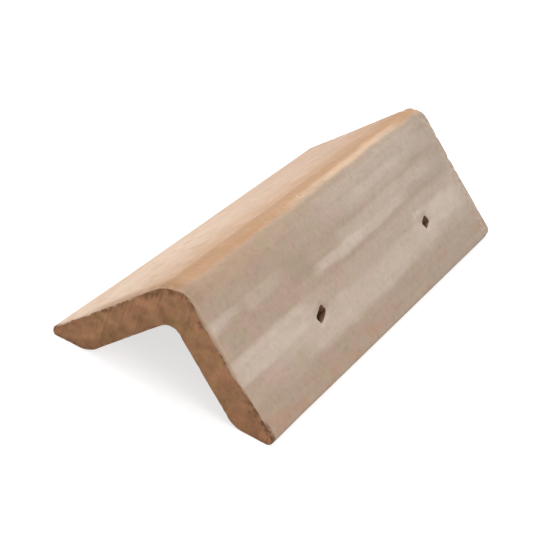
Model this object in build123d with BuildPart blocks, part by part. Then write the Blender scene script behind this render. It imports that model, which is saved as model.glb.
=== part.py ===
from build123d import *
import os
from math import acos, cos, radians, sin, sqrt, tan

# A clay rake tile: the trim tile that covers the sloping edge of a tiled roof.
# It is one piece of fired clay, pressed through a die as a long L, wire-cut to length and
# punched for nails while it is still soft.
# It stands as it left the press, ridge up, on the flat feet that its free edges grew on the belt.
# The short leg, on the -X side, lies over the roof. The long leg, on the +X side, hangs over
# the edge board and takes the nails.
# The length runs along Y, and the origin is on the floor, in the middle of the tile's outer box.

# Sizes of the die, in millimetres and degrees
short_leg = 102.0           # outer face, from the sharp ridge line to the sharp toe line
long_leg = 109.0            # the same, on the nailed side
opening_angle = 94.5        # between the two outer faces
short_wall = 20.0           # clay thickness of the short leg
long_wall = 19.4            # clay thickness of the long leg
ridge_radius = 14.0         # outside of the bend
cove_radius = 11.5          # inside of the bend
toe_radius = 3.0            # outer edge of each foot
short_heel_radius = 15.0    # inner edge of the short leg's foot
long_heel_radius = 17.5     # inner edge of the long leg's foot

# Sizes of the cut and of the nail holes
tile_length = 336.0
end_arris = 1.0             # softened edge all round each wire-cut end
nail_line = 66.7            # down the long leg, from the sharp ridge line to the middle of the holes
front_hole_offset = 103.0   # from the front end to the middle of the first hole
hole_spacing = 161.5        # from the first hole to the second
front_hole_length = 12.2    # mouth of the first hole, along the tile
rear_hole_length = 8.8      # mouth of the second hole, which the punch entered less deeply
hole_width = 5.4            # mouth of both holes, across the leg
hole_corner = 0.8           # rounding of the punch's four edges
hole_lean = 20.0            # the punch stands turned by this much, its long side rising to the rear
hole_taper = 2.0            # each hole narrows inwards by this angle on every side

# The two outer faces and the floor make a triangle, whose corners are the sharp ridge and toes.
base_width = sqrt(short_leg**2 + long_leg**2 - 2 * short_leg * long_leg * cos(radians(opening_angle)))
short_slope = acos((short_leg**2 + base_width**2 - long_leg**2) / (2 * short_leg * base_width))
long_slope = radians(180 - opening_angle) - short_slope

# Rounding a toe draws it in, so the middle of the outer box comes from the rounded toes.
short_toe_draw = toe_radius * (1 / tan(short_slope / 2) - 1)
long_toe_draw = toe_radius * (1 / tan(long_slope / 2) - 1)
short_toe_x = (long_toe_draw - short_toe_draw - base_width) / 2
long_toe_x = short_toe_x + base_width
ridge_x = short_toe_x + short_leg * cos(short_slope)
ridge_height = short_leg * sin(short_slope)

# The inner faces lie one wall in from the outer ones. They meet the floor at the heels, and
# each other at the cove.
short_heel_x = short_toe_x + short_wall / sin(short_slope)
long_heel_x = long_toe_x - long_wall / sin(long_slope)
cove_height = (long_heel_x - short_heel_x) / (1 / tan(short_slope) + 1 / tan(long_slope))
cove_x = short_heel_x + cove_height / tan(short_slope)

short_toe = (short_toe_x, 0)
ridge = (ridge_x, ridge_height)
long_toe = (long_toe_x, 0)
long_heel = (long_heel_x, 0)
cove = (cove_x, cove_height)
short_heel = (short_heel_x, 0)

# Looking square at the long leg from outside: x runs to the rear, y down the leg, z into the clay.
nailed_face = Plane(
    origin=(ridge_x, -tile_length / 2, ridge_height),
    x_dir=(0, 1, 0),
    z_dir=(-sin(long_slope), 0, -cos(long_slope)),
)
front_hole = (front_hole_offset, nail_line)
rear_hole = (front_hole_offset + hole_spacing, nail_line)


def corner(sketch, point):
    """The sketch's vertex at a point of the section."""
    return sketch.vertices().sort_by_distance((*point, 0))[0]


with BuildPart() as rake_tile:
    # the die's opening, with its six corners rounded
    with BuildSketch(Plane.XZ) as section:
        with BuildLine():
            Polyline(short_toe, ridge, long_toe, long_heel, cove, short_heel, close=True)
        make_face()
        fillet(corner(section, ridge), ridge_radius)
        fillet(corner(section, cove), cove_radius)
        fillet([corner(section, short_toe), corner(section, long_toe)], toe_radius)
        fillet(corner(section, short_heel), short_heel_radius)
        fillet(corner(section, long_heel), long_heel_radius)
    extrude(amount=tile_length / 2, both=True)

    # the wire leaves both ends square, and handling softens their edges
    fillet(rake_tile.faces().filter_by(Plane.XZ).edges(), end_arris)

    # the nail holes, punched from outside right through the long leg
    with BuildSketch(nailed_face):
        with Locations(front_hole):
            RectangleRounded(front_hole_length, hole_width, hole_corner, rotation=-hole_lean)
        with Locations(rear_hole):
            RectangleRounded(rear_hole_length, hole_width, hole_corner, rotation=-hole_lean)
    extrude(amount=2 * long_wall, taper=hole_taper, mode=Mode.SUBTRACT)

rake_tile.part.label = "rake_tile"

os.makedirs("parts", exist_ok=True)
export_step(rake_tile.part, "parts/rake_tile.step")
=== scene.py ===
from math import atan2, cos, pi, radians, sin, tan
from typing import NamedTuple

import bpy
import numpy as np
from bpy.props import FloatProperty, FloatVectorProperty, IntProperty, PointerProperty
from mathutils import Matrix, Vector


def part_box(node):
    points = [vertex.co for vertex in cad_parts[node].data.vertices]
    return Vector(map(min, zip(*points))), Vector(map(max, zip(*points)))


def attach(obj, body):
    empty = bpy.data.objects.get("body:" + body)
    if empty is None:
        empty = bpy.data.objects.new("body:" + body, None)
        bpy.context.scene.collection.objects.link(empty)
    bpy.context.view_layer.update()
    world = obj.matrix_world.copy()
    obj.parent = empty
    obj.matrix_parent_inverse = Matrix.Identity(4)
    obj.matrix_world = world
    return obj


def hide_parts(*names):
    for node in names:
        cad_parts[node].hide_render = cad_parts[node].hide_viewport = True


bl_info = {
    "name": "Clay Rake Tile",
    "version": (1, 0, 0),
    "blender": (4, 5, 0),
    "location": "3D View > Sidebar > Rake Tile",
    "description": "An L-shaped fired clay rake tile, die-pressed, wire-cut and punched, on a studio floor",
    "category": "Add Mesh",
}

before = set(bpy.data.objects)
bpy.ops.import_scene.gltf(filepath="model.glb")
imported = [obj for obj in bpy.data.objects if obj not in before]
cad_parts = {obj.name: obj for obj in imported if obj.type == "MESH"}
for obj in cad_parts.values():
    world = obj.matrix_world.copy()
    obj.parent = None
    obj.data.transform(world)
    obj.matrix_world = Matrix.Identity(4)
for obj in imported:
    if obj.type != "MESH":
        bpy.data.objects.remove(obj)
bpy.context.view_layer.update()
box_low, box_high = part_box("rake_tile")
tile_length = box_high.y - box_low.y

# How finely the tile is divided: steps of each arc and run of its skin, and of its length, arrises and ends
NOSE_STEPS = 2
TOE_STEPS = 5
RIDGE_STEPS = 26
COVE_STEPS = 16
HEEL_STEPS = 10
FOOT_STEPS = 12
SHORT_SKIN_STEPS = 90
LONG_SKIN_STEPS = 112
LINING_STEPS = (RIDGE_STEPS + SHORT_SKIN_STEPS + LONG_SKIN_STEPS - COVE_STEPS) // 2 - HEEL_STEPS - FOOT_STEPS
LENGTH_STEPS = 148
ARRIS_STEPS = 4
WALL_STEPS = 26


def seen(red, green, blue):
    """A colour as a screen shows it, each part from 0 to 255, in the linear light that materials use:
    each part's share of 255, lifted by the screen's curve."""
    share = np.array([red, green, blue]) / 255
    linear = np.where(share <= 0.04045, share / 12.92, ((share + 0.055) / 1.055) ** 2.4)
    return tuple(float(part) for part in linear)


def colour(name, description, red, green, blue):
    """A colour property with its default given as a screen shows it."""
    return FloatVectorProperty(
        name=name, description=description, subtype="COLOR", size=3, min=0.0, max=1.0,
        default=seen(red, green, blue),
    )


def length(name, description, default):
    """A length property, in metres."""
    return FloatProperty(name=name, description=description, default=default, unit="LENGTH", precision=5)


def angle(name, description, default):
    """An angle property, its default given in degrees."""
    return FloatProperty(
        name=name, description=description, default=radians(default), subtype="ANGLE", unit="ROTATION"
    )


class RakeTileSection(bpy.types.PropertyGroup):
    """Sizes of the die that pressed the tile"""

    short_leg: length("Short leg", "Its outer face, from the sharp ridge to its sharp toe", 0.102)
    long_leg: length("Long leg", "Outer face of the nailed leg, measured in the same way", 0.109)
    opening: angle("Opening", "Angle between the two outer faces", 94.5)
    short_wall: length("Short wall", "Clay thickness of the short leg", 0.0206)
    long_wall: length("Long wall", "Clay thickness of the long leg", 0.0196)
    front_ridge: length("Front ridge radius", "Outside of the bend at the front end, rubbed rounder", 0.021)
    rear_ridge: length("Rear ridge radius", "Outside of the bend at the rear end", 0.0127)
    cove: length("Cove radius", "Inside of the bend", 0.0086)
    toe: length("Toe radius", "Outer edge of each foot as the die left it, which sets its reach", 0.003)
    nose_lean: length("Nose lean", "How far each blunt toe leans in, from its top to the floor", 0.0010)
    nose_top: length("Nose top radius", "Upper edge of each blunt toe", 0.0012)
    short_sole: length("Short sole radius", "Lower edge of the short leg's toe", 0.0020)
    front_sole: length("Front sole radius", "Lower edge of the long leg's toe at the front end", 0.0037)
    rear_sole: length("Rear sole radius", "Lower edge of the long leg's toe at the rear end", 0.0026)
    short_heel: length("Short heel radius", "Inner edge of the short leg's foot", 0.015)
    long_heel: length("Long heel radius", "Inner edge of the long leg's foot", 0.0175)


class RakeTileRelief(bpy.types.PropertyGroup):
    """Depths of the marks that pressing, cutting and handling left"""

    seed: IntProperty(name="Seed", description="Starts every random draw", default=41)
    warp: length("Warp", "Depth of the slow waves that drying left", 0.00030)
    curl: length("Curl", "How far the short toe's front corner curls out; the long toe's follows", 0.00035)
    shoulder: length("Shoulder", "How far the ridge stands out beside the long leg at the front end", 0.00090)
    streak: length("Streaks", "Depth of the die's lengthwise streaks", 0.00010)
    grain: length("Grain", "Depth of the sandy grain of the skin", 0.00004)
    arris: length("Arris", "Usual radius of the edges round each cut end", 0.00030)
    worn_arris: length("Worn arris", "What wear adds to it along the long leg's front edge", 0.00135)
    ragged: length("Ragged edge", "How deep the wire's torn bites go into the edges", 0.00070)
    drag: length("Wire drag", "Depth of the lines that the wire dragged across each end", 0.00018)
    gash: length("Gashes", "Depth of the short gashes that the wire tore in the front end", 0.00050)
    chips: IntProperty(name="Chips", description="Small chips round each cut end", default=14)


class RakeTileHoles(bpy.types.PropertyGroup):
    """Sizes of the punched nail holes"""

    line: length("Nail line", "From the sharp ridge down the long leg to the middle of the holes", 0.0667)
    front: length("Front hole", "From the front end to the middle of the first hole", 0.103)
    spacing: length("Spacing", "From the first hole to the second", 0.1615)
    front_mouth: length("Front mouth", "Length of the first hole's mouth", 0.0126)
    rear_mouth: length("Rear mouth", "Length of the second hole's mouth", 0.0090)
    width: length("Width", "Width of both mouths", 0.0058)
    lean: angle("Lean", "How far the punch stood turned, its long side rising to the rear", 21)
    taper: angle("Taper", "How much each side closes in with depth", 2)
    dish: length("Dish", "How deep the punch dragged the skin in at the mouth", 0.0006)


class RakeTileColours(bpy.types.PropertyGroup):
    """Colours of the fired clay, as they look in plain light, and of the painted highlight along the ridge"""

    bloom: colour("Bloom", "Grey-beige scum that covers the long leg", 187, 164, 144)
    bloom_pink: colour("Bloom, pink", "Its pinker patches", 190, 162, 146)
    bloom_olive: colour("Bloom, olive", "Its greener patches", 184, 165, 141)
    bloom_rear: colour("Bloom, rear", "Its greyer look towards the rear end", 184, 169, 154)
    pale: colour("Pale bloom", "Where the scum lies thickest", 216, 199, 184)
    dusk: colour("Dusky bloom", "Where it is thin and the clay shows through", 170, 148, 128)
    cream: colour("Cream", "Lightest skin, near the short toe", 233, 207, 184)
    peach: colour("Peach", "Warmer skin, towards the ridge", 210, 175, 145)
    blush: colour("Blush", "Pinker patches of the short leg", 230, 195, 176)
    rear: colour("Rear skin", "Duller skin of the short leg's rear end", 203, 173, 151)
    tan: colour("Tan", "Bare clay rubbed along the ridge", 190, 149, 113)
    # painted highlight along the ridge, a pale line beside the tan one
    ridge_highlight: colour("Ridge light", "Pale line beside the tan one", 235, 202, 170)
    flush: colour("Flush", "Orange-brown tint near the long toe", 187, 142, 117)
    lining: colour("Lining", "Inner faces and feet", 192, 152, 122)
    cut: colour("Cut clay", "Body of the clay at the wire-cut ends", 182, 134, 98)
    cut_red: colour("Cut clay, red", "Its redder patches", 192, 134, 102)
    cut_olive: colour("Cut clay, olive", "Its yellower patches", 172, 134, 90)
    # torn is also the colour of the painted shade under the ragged outer edges
    torn: colour("Torn clay", "Dark pits along the torn edges", 106, 76, 54)
    punched: colour("Punched clay", "Walls of the nail holes", 160, 126, 100)


class RakeTileStage(bpy.types.PropertyGroup):
    """Camera, floor and lamps"""

    eye: FloatVectorProperty(
        name="Camera place", description="Where the camera stands", subtype="TRANSLATION", unit="LENGTH",
        size=3, precision=5, default=(0.316306, -0.926407, 0.565325),
    )
    azimuth: angle("Azimuth", "How far round the camera stands, from the front end to the long leg", 19.757)
    elevation: angle("Elevation", "How far down the camera looks", 29.905)
    roll: angle("Roll", "How far the camera is turned about its own line of sight", -15.786)
    lens: FloatProperty(
        name="Lens", description="Focal length in millimetres, for a sensor 36 mm wide", default=118.478
    )
    floor_half: length("Floor", "From the middle of the floor to its edge", 6.0)
    floor_colour: colour("Floor colour", "Plain pale floor and backdrop", 205, 205, 205)
    key_power: FloatProperty(
        name="Key lamp", description="Power of the large lamp above the short leg, in watts", default=20.0
    )
    fill_power: FloatProperty(
        name="Fill lamp", description="Power of the lamp that faces the long leg, in watts", default=10.0
    )
    sky: FloatProperty(name="Sky", description="Strength of the even light from all round", default=0.5)


# Width and length of the marks in the pressed skin. The streaks come in three widths, each with its share of
# the depth, and are longer than wide by one factor
WARP_WAVES = (0.045, 0.085)
STREAK_WIDTHS = ((0.0030, 0.5), (0.0075, 0.8), (0.0180, 1.0))
STREAK_STRETCH = 34
SAND_GRAINS = (0.0014, 0.0019)

# The same for the marks that the wire left across the ends, and how far its travel leans from upright
WIRE_LINES = (0.0021, 0.019)
WIRE_BANDS = (0.0075, 0.045)
WIRE_TEARS = (0.0043, 0.0052)
WIRE_TRAVEL = radians(-4)

# The same for the patches of colour on the skin
EDGE_WAVES = (0.050, 0.045)
EDGE_RIPPLES = (0.012, 0.011)
FADES = (0.009, 0.040)
FIBRES = (0.0030, 0.026)
CLUMPS = (0.007, 0.013)
FLUSHES = (0.006, 0.014)
BURR_SPECKS = (0.0024, 0.0020)

# Torn bites round the cut ends: width of a bite and of a group of them, the rear's share of the depth, and
# the width of a torn stretch there
BITE = 0.0019
BITE_GROUP = 0.0075
REAR_BITES = 0.25
REAR_STRETCH = 0.012

# The dish round each nail hole: its reach, and the place, width and share of the low lip round it
DISH_REACH = 0.0016
LIP_PLACE = 0.0030
LIP_WIDTH = 0.0012
LIP_SHARE = 0.25

# Shape of the space that each punch left: its steps round it and through the wall, how far it runs past the
# wall at both faces, how square its corners are, and how deep its walls wave
PUNCH_STEPS = 48
PUNCH_RINGS = 14
PUNCH_OUTSIDE = 0.004
PUNCH_INSIDE = 0.006
PUNCH_SQUARENESS = 0.42
PUNCH_WAVER = 0.00022

# The round mark on the ridge: its place, in metres round the section and along the tile, with 0 for the
# outer skin, and its radius
CURL_MARK = (0.0970, 0.1550, 0.0)
CURL_MARK_RADIUS = 0.0021

# Where the lamps stand and how wide they are, and how much the floor is lifted towards white
KEY_PLACE = (-0.8, 0.4, 1.6)
KEY_WIDTH = 1.2
FILL_PLACE = (1.6, -0.6, 1.1)
FILL_WIDTH = 1.0
FLOOR_LIFT = 0.68
SENSOR_WIDTH = 36.0

# What each step adds to the seed for its own random draws. A cut seed serves the end and the arris round it,
# whose relief has to match
FRONT_ARRIS_SEED = 11
REAR_ARRIS_SEED = 21
FRONT_CUT_SEED = 31
REAR_CUT_SEED = 41
FRONT_CHIPS_SEED = 51
REAR_CHIPS_SEED = 61
COLOUR_SEED = 71
PUNCH_SEED = 81
REAR_TORN_AND_SHADED_SEED = 91


def smooth(value, low, high):
    """Rises from 0 at low to 1 at high: three times the square of the share, less twice its cube."""
    share = np.clip((value - low) / (high - low), 0, 1)
    return share * share * (3 - 2 * share)


def band(value, low, high, soft):
    """1 between low and high, falling to 0 over the soft width outside each."""
    return smooth(value, low - soft, low) * (1 - smooth(value, high, high + soft))


def noise(across, along, seed):
    """Smooth noise from -1 to 1: random values at whole-number crossings, blended by their smoothed
    fractions."""
    table = np.random.default_rng(seed).uniform(-1, 1, (128, 128))
    column = np.floor(across).astype(int)
    row = np.floor(along).astype(int)
    s = across - column
    t = along - row
    s = s * s * (3 - 2 * s)
    t = t * t * (3 - 2 * t)
    near = table[column % 128, row % 128] * (1 - s) + table[(column + 1) % 128, row % 128] * s
    far = table[column % 128, (row + 1) % 128] * (1 - s) + table[(column + 1) % 128, (row + 1) % 128] * s
    return near * (1 - t) + far * t


def marks(across, along, size, seed, shift=0):
    """Noise from -1 to 1 whose marks have this width across and this length along."""
    width, length_along = size
    return noise(across / width + shift, along / length_along, seed)


def waves(across, along, size, seed, shift=0):
    """The same, from 0 to 1."""
    return 0.5 + 0.5 * marks(across, along, size, seed, shift)


# Places just beyond the two ends, in millimetres along the tile, for streaks that run off it
FRONT = -9
REAR = 345


class Streak(NamedTuple):
    """A streak along the skin: its strength, then in millimetres the span that it covers round the section
    and how softly it ends there, and the span that it covers along the tile and how slowly it fades
    there."""

    strength: float
    low: float
    high: float
    soft: float
    start: float = FRONT
    end: float = REAR
    fade: float = 1


class Smudge(NamedTuple):
    """A soft patch of the front end, in millimetres: its middle, its half width and half height, and its
    strength."""

    x: float
    z: float
    width: float
    height: float
    strength: float


# Forms that stand out at the front end: the toes' curled corners and the ridge's squared shoulder
CURLED_CORNERS = (
    Streak(1.0, 4, 18, 14, FRONT, 20, 70),
    Streak(2.1, 170, 190, 12, FRONT, 6, 39),
)
SQUARED_SHOULDER = Streak(1.0, 101, 104.8, 5.5, FRONT, 4, 46)

# Spans of the front end's outer edge that wear has rounded
WORN_SPANS = (
    Streak(0.12, 104, 176, 6.0),
    Streak(0.80, 118, 154, 10.0),
)

# The tan line along the ridge, its broader start, and the browner clay beside it
RIDGE_LINE = Streak(1.0, 88.7, 94, 5.0)
RIDGE_LINE_START = Streak(1.0, 88, 97, 4.5, FRONT, 100, 100)
BROWNED_STREAKS = (
    Streak(0.26, 96, 109, 7.0, FRONT, 40, 90),
    Streak(0.75, 85, 97.5, 5.0, 315, REAR, 45),
    Streak(0.50, 78, 88, 12.0, 260, REAR, 110),
    Streak(0.28, 62, 88, 14.0, 300, REAR, 60),
)

# Where the fire browned the front edge of the short leg
SCORCHED_EDGE = Streak(0.60, 49, 93, 32.0, FRONT, 3, 17)

# Where the bloom lies thick, from the ridge down the long leg
PALE_STREAKS = (
    Streak(0.30, 108, 119, 5.0, 185, 285, 60),
    Streak(0.30, 118, 125, 4.0, 205, 260, 40),
    Streak(0.30, 125, 128, 2.0, FRONT, 4, 6),
    Streak(0.30, 125, 128, 2.0, 18, 30, 10),
    Streak(0.24, 126, 132, 3.0, 48, 76, 14),
    Streak(0.56, 127.5, 128.5, 6.0, FRONT, 2, 30),
    Streak(0.36, 131, 137, 3.5, 178, 290, 35),
    Streak(0.58, 138, 141, 2.5, 132, 176, 20),
    Streak(0.50, 139, 143, 2.2, 168, 240, 30),
    Streak(0.22, 149, 153, 2.0, 12, 74, 24),
    Streak(0.16, 150, 160, 6.0, 130, 320, 60),
    Streak(0.50, 151, 162, 3.5, FRONT, 66, 56),
    Streak(0.26, 153, 158, 2.0, 84, 92, 5),
    Streak(0.45, 154.5, 156.5, 1.2, 254, 262, 4),
    Streak(0.30, 157, 164, 2.0, 249, 253, 3),
    Streak(0.26, 157, 171, 5.0, 270, 320, 12),
    Streak(0.22, 158, 168, 5.0, 34, 90, 30),
    Streak(0.52, 158, 169, 4.5, 282, 312, 16),
    Streak(0.18, 160, 178, 5.0, 262, 322, 20),
    Streak(0.38, 163, 176, 5.0, 95, 250, 40),
    Streak(0.30, 164, 171, 2.5, 246, 275, 8),
    Streak(0.12, 164, 179, 4.0, 40, 200, 30),
    Streak(0.55, 165.5, 168, 1.5, 254, 263, 4),
)

# Where it is thin and darker clay shows through
DUSK_STREAKS = (
    Streak(0.28, 101, 104, 2.0, 150, 330, 60),
    Streak(0.34, 101, 107, 3.0, FRONT, 110, 60),
    Streak(0.40, 101, 112, 4.0, 318, REAR, 12),
    Streak(0.24, 104, 110, 3.0, 140, 190, 30),
    Streak(0.30, 104, 111, 3.0, FRONT, 60, 40),
    Streak(0.26, 106, 109, 1.5, 200, 290, 40),
    Streak(0.22, 111, 146, 4.0, FRONT, 90, 50),
    Streak(0.26, 123, 126, 2.0, 222, 262, 20),
    Streak(0.32, 126, 132, 2.5, 266, 326, 14),
    Streak(0.42, 126, 138, 4.0, 98, 116, 10),
    Streak(0.34, 127, 132, 3.0, 148, 194, 20),
    Streak(0.30, 144, 147, 2.0, 140, 300, 50),
    Streak(0.45, 159, 162, 1.5, 109, 113, 3),
    Streak(0.36, 180, 200, 8.0, FRONT, REAR, 10),
)

# The painted highlight: a pale line that follows the tan one along the ridge
RIDGE_HIGHLIGHT_STREAKS = (
    Streak(0.32, 97.0, 100.0, 2.5, 160, 280, 40),
    Streak(0.36, 98.0, 99.5, 2.0, 205, 250, 40),
)

# Spans of the front end's outer edge that the wire tore, dark as torn clay and as painted shade under the
# edge
TORN_AND_SHADED_SPANS = (
    Streak(0.18, 4, 90, 3.0),
    Streak(0.28, 45, 52, 1.5),
    Streak(0.15, 59, 66, 2.0),
    Streak(0.60, 76, 92, 3.0),
    Streak(0.65, 93, 103, 2.0),
    Streak(0.50, 103, 112, 2.0),
    Streak(0.50, 168, 196, 6.0),
    Streak(0.60, 172, 180, 2.0),
    Streak(0.95, 181, 196, 1.5),
)

# Redder patches of the front end
RED_SMUDGES = (
    Smudge(-68, 5, 4.0, 2.5, 0.9),
    Smudge(-60, 14, 6.0, 4.0, 0.4),
    Smudge(-24, 46, 6.0, 4.0, 0.3),
    Smudge(-5, 61, 9.0, 1.5, 0.4),
    Smudge(12, 50, 4.0, 3.0, 0.5),
    Smudge(22, 44, 5.0, 3.0, 0.3),
    Smudge(36, 27, 6.0, 4.0, 0.6),
    Smudge(41, 22, 4.0, 3.0, 0.4),
    Smudge(52, 8, 5.0, 3.0, 0.7),
    Smudge(68, 4, 4.0, 2.0, 0.6),
)

# Yellower patches of the front end
OLIVE_SMUDGES = (
    Smudge(-47, 25, 7.0, 3.0, 0.8),
    Smudge(-38, 16, 8.0, 4.0, 0.4),
    Smudge(0, 45, 6.0, 2.5, 1.0),
    Smudge(9, 44, 4.0, 4.0, 0.5),
    Smudge(31, 18, 3.0, 4.0, 0.5),
    Smudge(33, 37, 3.5, 1.8, 0.7),
    Smudge(39, 13, 4.5, 3.5, 0.6),
)

# Gashes and burrs of the front end, and four broad faint darker patches
GASHES = (
    Smudge(-45.6, 29.6, 1.0, 0.9, 1.0),
    Smudge(-43.2, 31.0, 1.0, 0.9, 1.0),
    Smudge(-41.0, 32.4, 0.8, 0.8, 0.8),
    Smudge(-20.5, 50.0, 0.7, 1.8, 0.4),
    Smudge(-18.0, 53.5, 0.9, 2.4, 0.9),
    Smudge(-15.5, 56.0, 0.9, 3.0, 1.0),
    Smudge(-13.0, 55.0, 0.8, 2.4, 0.8),
    Smudge(3.0, 58.0, 5.0, 2.5, 0.14),
    Smudge(12.5, 51.5, 1.3, 1.0, 0.9),
    Smudge(14.5, 49.6, 1.1, 0.9, 0.8),
    Smudge(17.0, 51.6, 1.1, 0.9, 0.7),
    Smudge(30.5, 38.6, 1.7, 1.1, 0.9),
    Smudge(34.0, 35.8, 1.7, 1.1, 0.9),
    Smudge(37.0, 33.2, 1.4, 0.8, 0.5),
    Smudge(45.0, 20.5, 6.0, 3.0, 0.14),
    Smudge(48.0, 6.5, 1.0, 0.8, 0.6),
    Smudge(50.5, 19.0, 1.1, 0.9, 0.7),
    Smudge(55.0, 14.2, 1.3, 1.0, 0.9),
    Smudge(56.0, 12.0, 5.0, 3.0, 0.20),
    Smudge(58.5, 13.2, 1.1, 0.9, 0.9),
    Smudge(63.0, 10.5, 1.1, 0.9, 0.8),
    Smudge(64.0, 7.0, 4.0, 2.5, 0.20),
    Smudge(66.0, 8.0, 1.0, 0.8, 0.8),
    Smudge(68.3, 6.3, 1.0, 0.8, 0.9),
)


def smudged(smudges, x, z):
    """The smudges laid over each other. Each is a bell: its strength times e to the minus squared distance,
    in half widths and half heights."""
    bare = np.ones_like(x)
    for smudge in smudges:
        gap = ((x * 1000 - smudge.x) / smudge.width) ** 2 + ((z * 1000 - smudge.z) / smudge.height) ** 2
        bare = bare * (1 - smudge.strength * np.exp(-gap))
    return 1 - bare


def cover(streak, place, along):
    """How much of each point a streak covers: its strength, times its band across, times its band along."""
    across = band(place * 1000, streak.low, streak.high, streak.soft)
    return streak.strength * across * band(along * 1000, streak.start, streak.end, streak.fade)


def streaked(streaks, place, along):
    """The streaks laid over each other: one less the product of what each leaves bare."""
    bare = np.ones_like(place)
    for streak in streaks:
        bare = bare * (1 - cover(streak, place, along))
    return 1 - bare


class Section:
    """The L of the die in the XZ plane, worked out from its sizes."""

    def __init__(self, sizes):
        base = (
            sizes.short_leg**2 + sizes.long_leg**2 - 2 * sizes.short_leg * sizes.long_leg * cos(sizes.opening)
        ) ** 0.5
        share = (sizes.short_leg**2 + base**2 - sizes.long_leg**2) / (2 * sizes.short_leg * base)
        self.short_slope = atan2((1 - share**2) ** 0.5, share)
        self.long_slope = pi - sizes.opening - self.short_slope
        short_draw = sizes.toe * (1 / tan(self.short_slope / 2) - 1)
        long_draw = sizes.toe * (1 / tan(self.long_slope / 2) - 1)
        short_toe = (long_draw - short_draw - base) / 2
        long_toe = short_toe + base
        short_heel = short_toe + sizes.short_wall / sin(self.short_slope)
        long_heel = long_toe - sizes.long_wall / sin(self.long_slope)
        cove = (long_heel - short_heel) / (1 / tan(self.short_slope) + 1 / tan(self.long_slope))
        self.ridge = np.array(
            [short_toe + sizes.short_leg * cos(self.short_slope), sizes.short_leg * sin(self.short_slope)]
        )
        self.short_toe = np.array([short_toe, 0])
        self.long_toe = np.array([long_toe, 0])
        self.corners = np.array([
            (short_toe + short_draw + sizes.nose_lean, 0),
            (short_toe + short_draw, short_draw * tan(self.short_slope)),
            self.ridge,
            (long_toe - long_draw, long_draw * tan(self.long_slope)),
            (long_toe - long_draw - sizes.nose_lean, 0),
            (long_heel, 0),
            (short_heel + cove / tan(self.short_slope), cove),
            (short_heel, 0),
        ])

    def down_long_leg(self):
        """Unit direction in the section, from the ridge down the long leg."""
        return np.array([cos(self.long_slope), -sin(self.long_slope)])

    def out_of_long_leg(self):
        """Unit direction in the section, square out of the long leg."""
        return np.array([sin(self.long_slope), cos(self.long_slope)])


def rounded(corners, radii, arc_steps, run_shares):
    """The closed outline once round, as an array (column, row, 2), with one radius a row for each corner.
    An arc's points are its centre plus the radius turned evenly from one tangent point to the other. A
    run's points divide the straight between two arcs by the given shares."""
    count = len(corners)
    arcs = []
    for i in range(count):
        back = corners[i - 1] - corners[i]
        ahead = corners[(i + 1) % count] - corners[i]
        back = back / np.linalg.norm(back)
        ahead = ahead / np.linalg.norm(ahead)
        half = np.arccos(back @ ahead) / 2
        middle = (back + ahead) / np.linalg.norm(back + ahead)
        centre = corners[i] + middle * (radii[i][:, None] / sin(half))
        start = corners[i] + back * (radii[i][:, None] / tan(half)) - centre
        first = np.arctan2(start[:, 1], start[:, 0])
        turn = np.sign(ahead[0] * back[1] - ahead[1] * back[0]) * (pi - 2 * half)
        turned = first + turn * np.linspace(0, 1, arc_steps[i] + 1)[:, None]
        arcs.append(centre + radii[i][:, None] * np.stack([np.cos(turned), np.sin(turned)], axis=-1))
    pieces = []
    for i in range(count):
        share = run_shares[i][1:-1, None, None]
        pieces.append(arcs[i])
        pieces.append(arcs[i][-1] * (1 - share) + arcs[(i + 1) % count][0] * share)
    return np.concatenate(pieces)


def even(steps):
    """Shares from 0 to 1 in even steps."""
    return np.linspace(0, 1, steps + 1)


def crowded(steps, centres, width, extra):
    """Shares from 0 to 1 that crowd together near each centre: the steps follow one plus a bell at each."""
    fine = np.linspace(0, 1, 4001)
    density = np.ones_like(fine)
    for centre in centres:
        density = density + extra * np.exp(-(((fine - centre) / width) ** 2))
    total = np.concatenate([[0], np.cumsum((density[1:] + density[:-1]) / 2)])
    return np.interp(np.linspace(0, total[-1], steps + 1), total, fine)


def hole_places(holes):
    """Distance from the front end to the middle of each nail hole, and the length of its mouth."""
    return [(holes.front, holes.front_mouth), (holes.front + holes.spacing, holes.rear_mouth)]


def punch_distance(down, along, holes, place, mouth):
    """How far a point of the long leg's face is outside one hole's mouth. It is the distance to the nearest
    point of the mouth's rectangle, turned by the lean, and 0 inside it."""
    x = (along - place) * cos(holes.lean) - (down - holes.line) * sin(holes.lean)
    y = (along - place) * sin(holes.lean) + (down - holes.line) * cos(holes.lean)
    beyond_x = np.maximum(np.abs(x) - mouth / 2, 0)
    beyond_y = np.maximum(np.abs(y) - holes.width / 2, 0)
    return np.hypot(beyond_x, beyond_y)


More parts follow.
